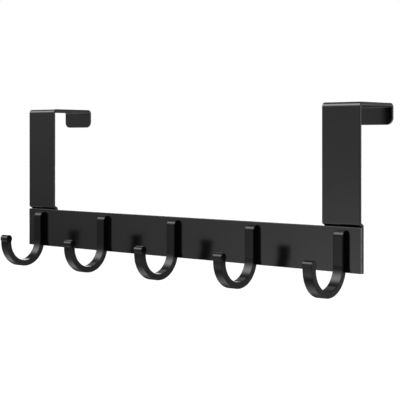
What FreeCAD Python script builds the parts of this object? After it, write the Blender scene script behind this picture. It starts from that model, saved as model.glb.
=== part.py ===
import FreeCAD, Part
import math
import os

# Over door hook rack: a flat rail with five J hooks, hung on a door by two folded strips.
# All lengths in millimetres.
# Origin: the top front edge of the door, midway along the rail.
# X runs along the rail (to the right, seen from the room), Y runs into the door,
# Z is up. The door's front face is the plane Y = 0 and its top is the plane Z = 0.

os.makedirs("parts", exist_ok=True)

# ---- driving dimensions -------------------------------------------------
RAIL_L = 337.4          # length of the rail
RAIL_H = 31.4           # height of the rail
RAIL_T = 2.5            # thickness of the rail
RAIL_EDGE = 0.3         # rounding of the rail's long front edges
RAIL_END_X = 0.15       # bevel at the rail's ends, along the front
RAIL_END_Y = 0.6        # bevel at the rail's ends, along the end face
GROOVE_H = 2.9          # height of the two guide grooves in the rail's back
GROOVE_D = 2.0          # depth of those grooves
GROOVE_R = 0.6          # rounding of the grooves' bottom corners
SCREW_Z = (9.0, 22.4)   # heights of grooves and screws above the rail's bottom

DROP = 115.15           # from the door's top down to the rail's bottom edge
DOOR_GAP = 37.5         # from the door's front face to the lip behind the door
STRIP_W = 31.0          # width of the folded strip
STRIP_T = 2.25          # thickness of the folded strip
STRIP_SPAN = 336.2      # over the outer edges of the two strips
STRIP_AHEAD = 0.5       # the strip's front stands this far in front of the rail
BEND_R = 1.0            # inside radius of the bend over the door's front edge
BEND_R_LIP = 1.1        # inside radius of the bend over the door's back edge
LIP_H = 15.45           # height of the lip with the top plate
LIP_CORNER = 5.0        # rounding of the lip's lower corners
JOG_SLOPE = 0.523       # fall of the joggle's web per millimetre of depth
JOG_Z = 31.65           # height above the rail's bottom where the web meets the tab
JOG_R_OUT = 1.0         # outside radii of the joggle
JOG_R_IN = 0.3          # inside radii of the joggle
STRIP_EDGE = 0.45       # rounding of the long edges of the strip

N_HOOKS = 5
HOOK_PITCH = 76.5       # spacing of the hooks along the rail
HOOK_W = 8.1            # width of a hook's bar
HOOK_T = 4.75           # thickness of a hook's bar
HOOK_R_IN = 16.0        # inside radius of the U
HOOK_ZC = 5.3           # height of the U's centre above the rail's bottom
HOOK_TOP = 29.2         # height of the leg's top above the rail's bottom
HOOK_TOP_R = 4.0        # rounding of the leg's top front corner
BEAD_R = 3.2            # radius of the bead at the tip
BEAD_Z = 8.45           # height of the bead's centre above the rail's bottom
NECK_R = 1.5            # radius of the neck under the bead
HOOK_EDGE = 0.55        # rounding of the long edges of the hook

SCREW_D = 3.0           # thread diameter
SCREW_HEAD_D = 5.8      # head diameter, 90 degree countersunk
SCREW_LAND = 0.2        # straight land of the head
SCREW_IN_HOOK = 3.0     # thread length inside the hook's leg
HOLE_IN_HOOK = 3.4      # depth of the tapped hole
CLEAR_D = 3.4           # clearance hole
SOCKET_AF = 2.0         # socket across flats
SOCKET_D = 1.1          # socket depth

# ---- derived positions --------------------------------------------------
Z0 = -DROP                          # bottom of the rail
Y_TAB_BACK = 0.0                    # the tab lies on the door
Y_RAIL_BACK = Y_TAB_BACK - STRIP_T
Y_FRONT = Y_RAIL_BACK - RAIL_T      # front of the rail
Y_STRIP = Y_FRONT - STRIP_AHEAD     # front of the strip
Y_LIP = DOOR_GAP                    # lip's face towards the door
HOOK_X = [(i - (N_HOOKS - 1) / 2.0) * HOOK_PITCH for i in range(N_HOOKS)]
STRIP_X = [-(STRIP_SPAN - STRIP_W) / 2.0, (STRIP_SPAN - STRIP_W) / 2.0]
HOOK_R_OUT = HOOK_R_IN + HOOK_T
HEAD_CONE = (SCREW_HEAD_D - SCREW_D) / 2.0


def V(x, y, z):
    return FreeCAD.Vector(x, y, z)


def line(a, b):
    return Part.LineSegment(V(0, a[0], a[1]), V(0, b[0], b[1])).toShape()


def arc(a, m, b):
    return Part.Arc(V(0, a[0], a[1]), V(0, m[0], m[1]), V(0, b[0], b[1])).toShape()


def rounded_profile(points):
    """Closed wire through (y, z, radius) corners, each rounded to its radius."""
    n = len(points)
    segs = []
    for i in range(n):
        p0, p1, p2 = points[i - 1], points[i], points[(i + 1) % n]
        r = p1[2]
        ax, ay = p0[0] - p1[0], p0[1] - p1[1]
        bx, by = p2[0] - p1[0], p2[1] - p1[1]
        la, lb = math.hypot(ax, ay), math.hypot(bx, by)
        ax, ay, bx, by = ax / la, ay / la, bx / lb, by / lb
        if r <= 0:
            segs.append(((p1[0], p1[1]), None, (p1[0], p1[1])))
            continue
        cosang = max(-1.0, min(1.0, ax * bx + ay * by))
        half = math.acos(cosang) / 2.0
        t = r / math.tan(half)
        a = (p1[0] + ax * t, p1[1] + ay * t)
        b = (p1[0] + bx * t, p1[1] + by * t)
        hx, hy = ax + bx, ay + by
        hl = math.hypot(hx, hy)
        d = r / math.sin(half)
        c = (p1[0] + hx / hl * d, p1[1] + hy / hl * d)
        m = (c[0] - hx / hl * r, c[1] - hy / hl * r)
        segs.append((a, m, b))
    edges = []
    for i in range(n):
        a, m, b = segs[i]
        if m is not None:
            edges.append(arc(a, m, b))
        nxt = segs[(i + 1) % n][0]
        if math.hypot(nxt[0] - b[0], nxt[1] - b[1]) > 1e-6:
            edges.append(line(b, nxt))
    return Part.Wire(edges)


def extrude_x(wire, x0, width):
    face = Part.Face(wire)
    solid = face.extrude(V(width, 0, 0))
    solid.translate(V(x0, 0, 0))
    return solid


def export(name, shape):
    shape.exportStep(os.path.join("parts", name + ".step"))


def edges_on(solid, test):
    out = []
    for e in solid.Edges:
        bb = e.BoundBox
        if test(e, bb):
            out.append(e)
    return out


# ---- rail ----------------------------------------------------------------
def make_rail():
    h = RAIL_L / 2.0
    plan = [(-h, Y_RAIL_BACK), (-h, Y_FRONT + RAIL_END_Y), (-h + RAIL_END_X, Y_FRONT),
            (h - RAIL_END_X, Y_FRONT), (h, Y_FRONT + RAIL_END_Y), (h, Y_RAIL_BACK)]
    outline = Part.makePolygon([V(x, y, Z0) for x, y in plan + plan[:1]])
    rail = Part.Face(outline).extrude(V(0, 0, RAIL_H))
    front = edges_on(rail, lambda e, bb: bb.YMax < Y_FRONT + 1e-6 and bb.XLength > 100)
    rail = rail.makeFillet(RAIL_EDGE, front)
    for z in SCREW_Z:
        # guide groove, open at the back and at both ends
        groove = Part.makeBox(RAIL_L + 2, GROOVE_D + 1, GROOVE_H,
                              V(-h - 1, Y_RAIL_BACK - GROOVE_D, Z0 + z - GROOVE_H / 2.0))
        bottom = edges_on(groove, lambda e, bb: bb.XLength > 100 and bb.YMax < Y_RAIL_BACK - GROOVE_D + 1e-6)
        rail = rail.cut(groove.makeFillet(GROOVE_R, bottom))
    for i, x in enumerate(HOOK_X):
        for z in SCREW_Z:
            hole = Part.makeCylinder(CLEAR_D / 2.0, RAIL_T + 2, V(x, Y_FRONT - 1, Z0 + z), V(0, 1, 0))
            rail = rail.cut(hole)
            if 0 < i < N_HOOKS - 1:
                rail = rail.cut(head_shape(x, Y_RAIL_BACK, Z0 + z, 0.0))
    return rail.removeSplitter()


# ---- screws --------------------------------------------------------------
def head_shape(x, y_back, z, extra):
    """The countersunk head as a solid of revolution, its flat at y_back."""
    r1, r2 = SCREW_HEAD_D / 2.0, SCREW_D / 2.0
    land = Part.makeCylinder(r1, SCREW_LAND + extra, V(x, y_back - SCREW_LAND, z), V(0, 1, 0))
    cone = Part.makeCone(r2, r1, HEAD_CONE, V(x, y_back - SCREW_LAND - HEAD_CONE, z), V(0, 1, 0))
    return land.fuse(cone)


def make_screw(x, y_back, z):
    y_tip = Y_FRONT - SCREW_IN_HOOK
    head = head_shape(x, y_back, z, 0.0)
    shank = Part.makeCylinder(SCREW_D / 2.0, y_back - SCREW_LAND - y_tip, V(x, y_tip, z), V(0, 1, 0))
    tip = [e for e in shank.Edges if abs(e.BoundBox.YMax - y_tip) < 1e-6 and e.BoundBox.YLength < 1e-6]
    shank = shank.makeChamfer(0.4, tip)
    screw = head.fuse(shank)
    r = SOCKET_AF / 2.0 / math.cos(math.pi / 6.0)
    pts = [V(x + r * math.cos(math.pi / 3.0 * k), y_back - SOCKET_D, z + r * math.sin(math.pi / 3.0 * k))
           for k in range(7)]
    socket = Part.Face(Part.makePolygon(pts)).extrude(V(0, SOCKET_D + 1, 0))
    return screw.cut(socket).removeSplitter()


# ---- brackets ------------------------------------------------------------
def make_bracket(xc):
    t = STRIP_T
    ys, yb = Y_STRIP, Y_STRIP + t             # strip in front
    yt = Y_RAIL_BACK                          # tab's face on the rail
    ylb = Y_LIP + t                           # lip's back
    base = Z0 + JOG_Z
    rise = t / math.cos(math.atan(JOG_SLOPE))

    def under(y):
        return base - JOG_SLOPE * (y - yt)

    def over(y):
        return base + rise - JOG_SLOPE * (y - yt)

    ro, ri = BEND_R + t, BEND_R
    rol, ril = BEND_R_LIP + t, BEND_R_LIP
    pts = [
        (ys, t, ro),                # outer bend over the door's front edge
        (ylb, t, rol),              # outer bend over the door's back edge
        (ylb, t - LIP_H, 0),
        (Y_LIP, t - LIP_H, 0),
        (Y_LIP, 0.0, ril),
        (yb, 0.0, ri),
        (yb, over(yb), JOG_R_IN),
        (Y_TAB_BACK, over(Y_TAB_BACK), JOG_R_OUT),
        (Y_TAB_BACK, Z0, 0),
        (yt, Z0, 0),
        (yt, under(yt), JOG_R_IN),
        (ys, under(ys), JOG_R_OUT),
    ]
    body = extrude_x(rounded_profile(pts), xc - STRIP_W / 2.0, STRIP_W)
    # rounded lower corners of the lip
    low = edges_on(body, lambda e, bb: bb.YMin > Y_LIP - 0.01 and abs(bb.ZMax - (t - LIP_H)) < 1e-6
                   and bb.ZLength < 1e-6 and bb.XLength < 1e-6)
    body = body.makeFillet(LIP_CORNER, low)
    # screw holes with their countersinks through the tab
    hx = HOOK_X[0] if xc < 0 else HOOK_X[-1]
    for z in SCREW_Z:
        hole = Part.makeCylinder(CLEAR_D / 2.0, t + 2, V(hx, yt - 1, Z0 + z), V(0, 1, 0))
        body = body.cut(hole)
        body = body.cut(head_shape(hx, Y_TAB_BACK, Z0 + z, 0.0))
    # rounded long edges on both sides of the strip
    sides = (xc - STRIP_W / 2.0, xc + STRIP_W / 2.0)
    long_edges = edges_on(body, lambda e, bb: bb.XLength < 1e-6 and min(abs(bb.XMin - x) for x in sides) < 1e-6
                          and not (abs(bb.ZMax - Z0) < 1e-6 and bb.ZLength < 1e-6))
    body = body.makeFillet(STRIP_EDGE, long_edges)
    return body.removeSplitter()


# ---- hooks ---------------------------------------------------------------
def make_hook(xc):
    yb = Y_FRONT                             # the leg's back lies on the rail
    yc = yb - HOOK_R_OUT                     # centre of the U
    zc = Z0 + HOOK_ZC
    zt = Z0 + HOOK_TOP
    yf = yb - HOOK_T                         # front of the leg
    y_out = yb - 2 * HOOK_R_OUT              # front of the arm
    y_in = y_out + HOOK_T                    # inside of the arm
    ym = (y_out + y_in) / 2.0                # middle of the arm and of the bead
    zb = Z0 + BEAD_Z
    # neck arcs, tangent to the arm and to the bead
    dy = (HOOK_T / 2.0) + NECK_R
    dist = BEAD_R + NECK_R
    dz = math.sqrt(dist * dist - dy * dy)
    zn = zb - dz
    k = BEAD_R / dist
    s = math.sqrt(0.5)

    def neck_mid(side):
        cy = ym + side * dy
        ex, ez = -side, 0.0
        fx, fz = (ym - cy) / dist, (zb - zn) / dist
        mx, mz = ex + fx, ez + fz
        ml = math.hypot(mx, mz)
        return (cy + mx / ml * NECK_R, zn + mz / ml * NECK_R)

    out_t = (ym - dy * k, zb - dz * k)
    in_t = (ym + dy * k, zb - dz * k)
    r = HOOK_TOP_R
    edges = [
        line((yb, zt), (yb, zc)),
        arc((yb, zc), (yc, zc - HOOK_R_OUT), (y_out, zc)),
        line((y_out, zc), (y_out, zn)),
        arc((y_out, zn), neck_mid(-1), out_t),
        arc(out_t, (ym, zb + BEAD_R), in_t),
        arc(in_t, neck_mid(1), (y_in, zn)),
        line((y_in, zn), (y_in, zc)),
        arc((y_in, zc), (yc, zc - HOOK_R_IN), (yf, zc)),
        line((yf, zc), (yf, zt - r)),
        arc((yf, zt - r), (yf + r - r * s, zt - r + r * s), (yf + r, zt)),
        line((yf + r, zt), (yb, zt)),
    ]
    hook = extrude_x(Part.Wire(edges), xc - HOOK_W / 2.0, HOOK_W)
    # round the long edges, apart from those on the rail
    side = edges_on(hook, lambda e, bb: bb.XLength < 1e-6 and not (bb.YMin > yb - 1e-6))
    hook = hook.makeFillet(HOOK_EDGE, side)
    for z in SCREW_Z:
        hole = Part.makeCylinder(SCREW_D / 2.0, HOLE_IN_HOOK, V(xc, yb - HOLE_IN_HOOK, Z0 + z), V(0, 1, 0))
        hook = hook.cut(hole)
    return hook.removeSplitter()


# ---- build ---------------------------------------------------------------
export("rail", make_rail())
for i, x in enumerate(HOOK_X):
    export("hook_%d" % (i + 1), make_hook(x))
export("bracket_left", make_bracket(STRIP_X[0]))
export("bracket_right", make_bracket(STRIP_X[1]))

outer = [make_screw(x, Y_TAB_BACK, Z0 + z) for x in (HOOK_X[0], HOOK_X[-1]) for z in SCREW_Z]
inner = [make_screw(x, Y_RAIL_BACK, Z0 + z) for x in HOOK_X[1:-1] for z in SCREW_Z]
export("screws_outer", Part.makeCompound(outer))
export("screws_inner", Part.makeCompound(inner))
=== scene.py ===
import bpy
import math
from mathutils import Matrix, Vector

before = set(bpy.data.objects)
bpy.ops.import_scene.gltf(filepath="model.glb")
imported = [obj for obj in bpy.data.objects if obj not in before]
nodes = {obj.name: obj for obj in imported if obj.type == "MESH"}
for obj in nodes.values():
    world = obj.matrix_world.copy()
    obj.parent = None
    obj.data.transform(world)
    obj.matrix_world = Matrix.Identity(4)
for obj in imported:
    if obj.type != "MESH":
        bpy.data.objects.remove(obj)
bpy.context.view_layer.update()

scene = bpy.context.scene

# ---------------------------------------------------------------- camera
# Level camera, 40 degrees to the right of the rail's square-on view, horizon above the middle.
FOCAL_PX = 1117.418
HORIZON_PX = 138.870
PSI = 0.698132
cam_data = bpy.data.cameras.new("camera")
cam_data.sensor_width = 36.0
cam_data.lens = FOCAL_PX * 36.0 / 400.0
cam_data.shift_x = 0.0
cam_data.shift_y = -(200.0 - HORIZON_PX) / 400.0
cam_data.clip_start = 0.01
cam_data.clip_end = 500.0
cam = bpy.data.objects.new("camera", cam_data)
cam.location = (0.572630, -0.656314, -0.023193)
cam.rotation_euler = (math.pi / 2, 0.0, PSI)
scene.collection.objects.link(cam)
scene.camera = cam

scene.view_settings.view_transform = "Standard"
scene.view_settings.look = "None"
scene.view_settings.exposure = 0.0
scene.view_settings.gamma = 1.0


# ---------------------------------------------------------------- node helpers
class Tree:
    """Short names for making and joining nodes in one tree."""

    def __init__(self, tree):
        self.t = tree

    def add(self, kind, **props):
        n = self.t.nodes.new(kind)
        for k, v in props.items():
            setattr(n, k, v)
        return n

    def put(self, socket, value):
        if isinstance(value, bpy.types.NodeSocket):
            self.t.links.new(value, socket)
        else:
            socket.default_value = value

    def math(self, op, a, b=None, c=None, clamp=False):
        n = self.add("ShaderNodeMath", operation=op, use_clamp=clamp)
        self.put(n.inputs[0], a)
        if b is not None:
            self.put(n.inputs[1], b)
        if c is not None:
            self.put(n.inputs[2], c)
        return n.outputs[0]

    def ramp(self, value, lo, hi, out_lo=0.0, out_hi=1.0):
        """Smooth step of value from lo to hi."""
        n = self.add("ShaderNodeMapRange", interpolation_type="SMOOTHSTEP")
        self.put(n.inputs["Value"], value)
        n.inputs["From Min"].default_value = lo
        n.inputs["From Max"].default_value = hi
        n.inputs["To Min"].default_value = out_lo
        n.inputs["To Max"].default_value = out_hi
        return n.outputs["Result"]

    def curve(self, value, points, lo, hi):
        """Value through a smooth curve given as (x, y) pairs, x from lo to hi, y scaled by its own highest."""
        top = max(y for _, y in points)
        x = self.math("MULTIPLY_ADD", value, 1.0 / (hi - lo), -lo / (hi - lo), clamp=True)
        n = self.add("ShaderNodeFloatCurve")
        self.put(n.inputs["Value"], x)
        c = n.mapping.curves[0]
        pts = [((px - lo) / (hi - lo), py / top) for px, py in points]
        c.points[0].location = pts[0]
        c.points[1].location = pts[-1]
        for p in pts[1:-1]:
            c.points.new(*p)
        n.mapping.update()
        return self.math("MULTIPLY", n.outputs[0], top)


# ---------------------------------------------------------------- studio light
# A soft studio all round the part: a long soft light overhead in front, a pale bounce from below, a
# card low in front on the left, pale walls behind and on the right, and a dark corner behind on the
# left with a pale window over it. Roll angles are about the X axis: 0 is square in front, 90 straight up, -90 straight down, 180
# straight behind. Azimuths are about Z from +X.
world = bpy.data.worlds.new("studio")
scene.world = world
world.use_nodes = True
wt = world.node_tree
wt.nodes.clear()
W = Tree(wt)
coord = W.add("ShaderNodeTexCoord")
sep = W.add("ShaderNodeSeparateXYZ")
W.put(sep.inputs[0], coord.outputs["Generated"])
dx, dy, dz = sep.outputs
front = W.math("MULTIPLY", dy, -1.0)
roll = W.math("MULTIPLY", W.math("ARCTAN2", dz, front), 180.0 / math.pi)
elev = W.math("MULTIPLY", W.math("ARCSINE", dz), 180.0 / math.pi)

azim = W.math("MULTIPLY", W.math("ARCTAN2", dy, dx), 180.0 / math.pi)


def window(value, lo0, lo1, hi1, hi0):
    """1 between lo1 and hi1, falling smoothly to 0 at lo0 and hi0."""
    return W.math("MULTIPLY", W.ramp(value, lo0, lo1), W.ramp(value, hi1, hi0, 1.0, 0.0))


# light round the X axis, as the bends and the U shapes sweep it
ABOVE = [(-180, 0.95), (-150, 0.40), (-120, 0.15), (-90, 0.12), (-50, 0.10), (-30, 0.03), (0, 0.03), (6, 0.10), (12, 0.42), (18, 1.15),
         (27, 2.5), (36, 4.3), (46, 6.2), (56, 6.8), (66, 5.4), (74, 3.3), (82, 1.45), (90, 0.52), (99, 0.24), (110, 0.16),
         (125, 0.20), (142, 0.32), (160, 0.45), (180, 0.95)]
BELOW = [(-180, 0.0), (-135, 0.0), (-122, 0.22), (-110, 0.85), (-98, 1.65), (-84, 1.7), (-70, 1.1), (-52, 0.55), (-36, 0.25),
         (-20, 0.06), (-8, 0.0), (0, 0.0), (90, 0.0), (180, 0.0)]
above = W.curve(roll, ABOVE, -180.0, 180.0)
below = W.curve(roll, BELOW, -180.0, 180.0)
below = W.math("MULTIPLY", below, W.ramp(dx, -0.80, -0.50, 0.85, 0.78))
above = W.math("MULTIPLY_ADD", W.math("SUBTRACT", above, 0.15), W.ramp(dx, -0.82, -0.59, 0.62, 1.10), 0.15)
around = W.math("ADD", above, W.math("MAXIMUM", below, 0.0))
around = W.math("MULTIPLY_ADD", W.math("SUBTRACT", around, 0.03), W.ramp(dx, -0.94, -0.82), 0.03)
side = W.ramp(dx, -0.05, 0.75, 1.0, 0.30)
back_side = W.ramp(dx, 0.0, 0.6, 1.0, 0.72)
is_back = W.ramp(dy, 0.0, 0.35)
fall = W.math("ADD", W.math("MULTIPLY", side, W.math("SUBTRACT", 1.0, is_back)), W.math("MULTIPLY", back_side, is_back))
around = W.math("MULTIPLY", around, fall)

# the dark corner behind on the left, with a pale window above it
corner = W.math("ADD", W.math("MULTIPLY", dx, -0.643), W.math("MULTIPLY", dy, 0.766))
corner = W.ramp(corner, 0.70, 0.93, 1.0, 0.06)
around = W.math("MULTIPLY", around, corner)
pane = W.math("MULTIPLY", window(elev, 4.5, 6.5, 22.0, 30.0), W.ramp(dx, -0.68, -0.53, 1.0, 0.0))
pane = W.math("MULTIPLY", pane, W.ramp(dy, 0.25, 0.45))

# the card in front on the left: a little brighter low on its right and high on its left
CARD_LEFT = [(-18, 0.27), (-8, 0.26), (-5, 0.26), (-4, 0.29), (-3.2, 0.37), (-1.4, 0.40), (0, 0.42), (2, 0.48), (5, 0.50)]
CARD_MID = [(-18, 0.71), (-8, 0.59), (-6.5, 0.56), (-5, 0.58), (-4, 0.58), (-1.4, 0.56), (0, 0.55), (2, 0.54), (5, 0.54)]
CARD_RIGHT = [(-18, 1.88), (-10, 1.34), (-6.6, 1.15), (-5, 1.02), (-4.4, 0.94), (-3.5, 0.83), (-2.5, 0.74), (-1.4, 0.63), (0, 0.58), (5, 0.56)]
card_left = W.curve(elev, CARD_LEFT, -18.0, 5.0)
card_mid = W.curve(elev, CARD_MID, -18.0, 5.0)
card_right = W.curve(elev, CARD_RIGHT, -18.0, 5.0)
to_left = W.math("MULTIPLY_ADD", dx, -1.0 / 0.085, -0.660 / 0.085)
to_right = W.math("MULTIPLY_ADD", dx, 1.0 / 0.115, 0.660 / 0.115)
to_left = W.math("MINIMUM", W.math("MAXIMUM", to_left, 0.0), 1.4)
to_right = W.math("MINIMUM", W.math("MAXIMUM", to_right, 0.0), 1.4)
card = W.math("MULTIPLY_ADD", to_left, W.math("SUBTRACT", card_left, card_mid), card_mid)
card = W.math("MULTIPLY_ADD", to_right, W.math("SUBTRACT", card_right, card_mid), card)
card = W.math("MAXIMUM", card, 0.13)
win = W.math("MULTIPLY", window(dx, -0.90, -0.80, -0.46, -0.30), window(elev, -36.0, -22.0, 5.0, 12.0))
win = W.math("MULTIPLY", win, W.ramp(dy, -0.25, 0.0, 1.0, 0.0))
card = W.math("MULTIPLY", card, win)

# weaker cards square in front and in front on the right, and a low wash behind, for the other views
card_r = W.math("MULTIPLY", window(dx, 0.30, 0.50, 0.78, 0.90), window(elev, -36.0, -22.0, 5.0, 12.0))
card_r = W.math("MULTIPLY", card_r, W.ramp(dy, -0.25, 0.0, 1.0, 0.0))
card_c = W.math("MULTIPLY", window(dx, -0.32, -0.18, 0.25, 0.40), window(elev, -36.0, -22.0, 5.0, 12.0))
card_c = W.math("MULTIPLY", card_c, W.ramp(dy, -0.25, 0.0, 1.0, 0.0))
wash = W.math("MULTIPLY", window(azim, 20.0, 40.0, 150.0, 170.0), window(elev, -60.0, -40.0, -18.0, -10.0))
wash = W.math("MULTIPLY", wash, W.ramp(dx, -0.55, -0.30))

# a strip light on the right
strip = W.math("MULTIPLY", window(azim, 10.0, 18.0, 28.0, 38.0), window(elev, -35.0, -15.0, 15.0, 35.0))
total = W.math("MULTIPLY_ADD", card, 1.05, around)
total = W.math("MULTIPLY_ADD", strip, 4.3, total)
total = W.math("MULTIPLY_ADD", card_r, 0.35, total)
total = W.math("MULTIPLY_ADD", card_c, 0.22, total)
total = W.math("MULTIPLY_ADD", wash, 0.8, total)
total = W.math("MULTIPLY_ADD", pane, 2.2, total)
total = W.math("MAXIMUM", total, 0.0)
# seen directly, the surroundings are a plain pale backdrop
seen = W.add("ShaderNodeLightPath").outputs["Is Camera Ray"]
total = W.math("ADD", W.math("MULTIPLY", total, W.math("SUBTRACT", 1.0, seen)), seen)

bg = W.add("ShaderNodeBackground")
bg.inputs["Color"].default_value = (1.0, 1.0, 1.0, 1.0)
W.put(bg.inputs["Strength"], total)
out = W.add("ShaderNodeOutputWorld")
W.put(out.inputs["Surface"], bg.outputs[0])


# ---------------------------------------------------------------- floor and backdrop
def plain(name, colour, rough, glow):
    m = bpy.data.materials.new(name)
    m.use_nodes = True
    p = m.node_tree.nodes["Principled BSDF"]
    p.inputs["Base Color"].default_value = (*colour, 1.0)
    p.inputs["Roughness"].default_value = rough
    p.inputs["Specular IOR Level"].default_value = 0.0
    p.inputs["Emission Color"].default_value = (1.0, 1.0, 1.0, 1.0)
    p.inputs["Emission Strength"].default_value = glow
    return m


def unseen_by_light(o):
    """Seen by the camera only, so it adds nothing to the light on the part."""
    o.visible_diffuse = False
    o.visible_glossy = False
    o.visible_transmission = False
    o.visible_shadow = False


FLOOR_Z = -1.95
floor_mesh = bpy.data.meshes.new("floor")
R = 60.0
floor_mesh.from_pydata([(-R, -R, FLOOR_Z), (R, -R, FLOOR_Z), (R, R, FLOOR_Z), (-R, R, FLOOR_Z)], [], [(0, 1, 2, 3)])
floor = bpy.data.objects.new("floor", floor_mesh)
scene.collection.objects.link(floor)
floor_mesh.materials.append(plain("pale_floor", (0.20, 0.20, 0.20), 0.9, 0.71))
unseen_by_light(floor)

bpy.ops.mesh.primitive_uv_sphere_add(segments=48, ring_count=24, radius=80.0)
dome = bpy.context.object
dome.name = "backdrop"
dome_mat = bpy.data.materials.new("pale_backdrop")
dome_mat.use_nodes = True
dn = dome_mat.node_tree
dn.nodes.clear()
em = dn.nodes.new("ShaderNodeEmission")
em.inputs["Color"].default_value = (1.0, 1.0, 1.0, 1.0)
em.inputs["Strength"].default_value = 1.0
do = dn.nodes.new("ShaderNodeOutputMaterial")
dn.links.new(em.outputs[0], do.inputs["Surface"])
dome.data.materials.append(dome_mat)
unseen_by_light(dome)


# ---------------------------------------------------------------- finishes
def satin(name, base, rough, rough_var, grain, grain_depth, grain_soft=0.35, level=0.5, metallic=0.0):
    """Satin black coating: fine orange peel, faint cloudy change in sheen, faint change in depth of black."""
    m = bpy.data.materials.new(name)
    m.use_nodes = True
    T = Tree(m.node_tree)
    p = m.node_tree.nodes["Principled BSDF"]
    p.inputs["Specular IOR Level"].default_value = level
    p.inputs["IOR"].default_value = 1.5
    p.inputs["Metallic"].default_value = metallic
    pos = T.add("ShaderNodeTexCoord").outputs["Object"]
    cloud = T.add("ShaderNodeTexNoise", noise_dimensions="3D")
    T.put(cloud.inputs["Vector"], pos)
    cloud.inputs["Scale"].default_value = 60.0
    cloud.inputs["Detail"].default_value = 4.0
    cloud.inputs["Roughness"].default_value = 0.55
    fine = T.add("ShaderNodeTexNoise", noise_dimensions="3D")
    T.put(fine.inputs["Vector"], pos)
    fine.inputs["Scale"].default_value = grain
    fine.inputs["Detail"].default_value = 2.0
    fine.inputs["Roughness"].default_value = grain_soft
    speck = T.add("ShaderNodeTexVoronoi", feature="F1")
    T.put(speck.inputs["Vector"], pos)
    speck.inputs["Scale"].default_value = grain * 0.8
    # roughness: cloudy change plus a little from the grain
    r = T.math("MULTIPLY_ADD", T.math("SUBTRACT", cloud.outputs["Fac"], 0.5), rough_var * 2.0, rough)
    r = T.math("MULTIPLY_ADD", T.math("SUBTRACT", fine.outputs["Fac"], 0.5), rough_var, r, clamp=True)
    T.put(p.inputs["Roughness"], r)
    # colour: deeper in the grain's low spots
    mix = T.add("ShaderNodeMix", data_type="RGBA")
    f = T.math("MULTIPLY_ADD", T.math("SUBTRACT", fine.outputs["Fac"], 0.5), 0.8,
               T.math("MULTIPLY_ADD", T.math("SUBTRACT", cloud.outputs["Fac"], 0.5), 0.8, 0.5), clamp=True)
    T.put(mix.inputs["Factor"], f)
    mix.inputs["A"].default_value = (*[c * 0.7 for c in base], 1.0)
    mix.inputs["B"].default_value = (*[c * 1.35 for c in base], 1.0)
    T.put(p.inputs["Base Color"], mix.outputs["Result"])
    # relief
    h = T.math("MULTIPLY_ADD", speck.outputs["Distance"], 0.25, fine.outputs["Fac"])
    b = T.add("ShaderNodeBump")
    b.inputs["Strength"].default_value = 1.0
    b.inputs["Distance"].default_value = grain_depth
    T.put(b.inputs["Height"], h)
    T.put(p.inputs["Normal"], b.outputs["Normal"])
    return m


BLACK = (0.0011, 0.0011, 0.0012)
rail_mat = satin("rail_finish", BLACK, 0.15, 0.03, 900.0, 0.000006)
strip_mat = satin("bracket_finish", BLACK, 0.16, 0.03, 1100.0, 0.000008)
hook_mat = satin("hook_finish", (0.0009, 0.0009, 0.0010), 0.17, 0.03, 1300.0, 0.000008, level=0.25)


def steel(name):
    """Dark oxide steel for the screws: metal with a fine mottled tone, roughness and relief."""
    m = bpy.data.materials.new(name)
    m.use_nodes = True
    T = Tree(m.node_tree)
    p = m.node_tree.nodes["Principled BSDF"]
    p.inputs["Metallic"].default_value = 0.85
    pos = T.add("ShaderNodeTexCoord").outputs["Object"]
    n = T.add("ShaderNodeTexNoise", noise_dimensions="3D")
    T.put(n.inputs["Vector"], pos)
    n.inputs["Scale"].default_value = 1500.0
    n.inputs["Detail"].default_value = 3.0
    mix = T.add("ShaderNodeMix", data_type="RGBA")
    T.put(mix.inputs["Factor"], n.outputs["Fac"])
    mix.inputs["A"].default_value = (0.030, 0.030, 0.032, 1.0)
    mix.inputs["B"].default_value = (0.075, 0.073, 0.070, 1.0)
    T.put(p.inputs["Base Color"], mix.outputs["Result"])
    T.put(p.inputs["Roughness"], T.math("MULTIPLY_ADD", n.outputs["Fac"], 0.2, 0.28))
    b = T.add("ShaderNodeBump")
    b.inputs["Distance"].default_value = 0.000008
    T.put(b.inputs["Height"], n.outputs["Fac"])
    T.put(p.inputs["Normal"], b.outputs["Normal"])
    return m


steel_mat = steel("screw_finish")


def finish(names, mat):
    for n in names:
        o = nodes[n]
        if not o.material_slots:
            o.data.materials.append(mat)
        for s in o.material_slots:
            s.material = mat


finish(["rail"], rail_mat)
finish(["bracket_left", "bracket_right"], strip_mat)
finish(["hook_%d" % (i + 1) for i in range(5)], hook_mat)
finish(["screws_outer", "screws_inner"], steel_mat)

bpy.context.view_layer.update()
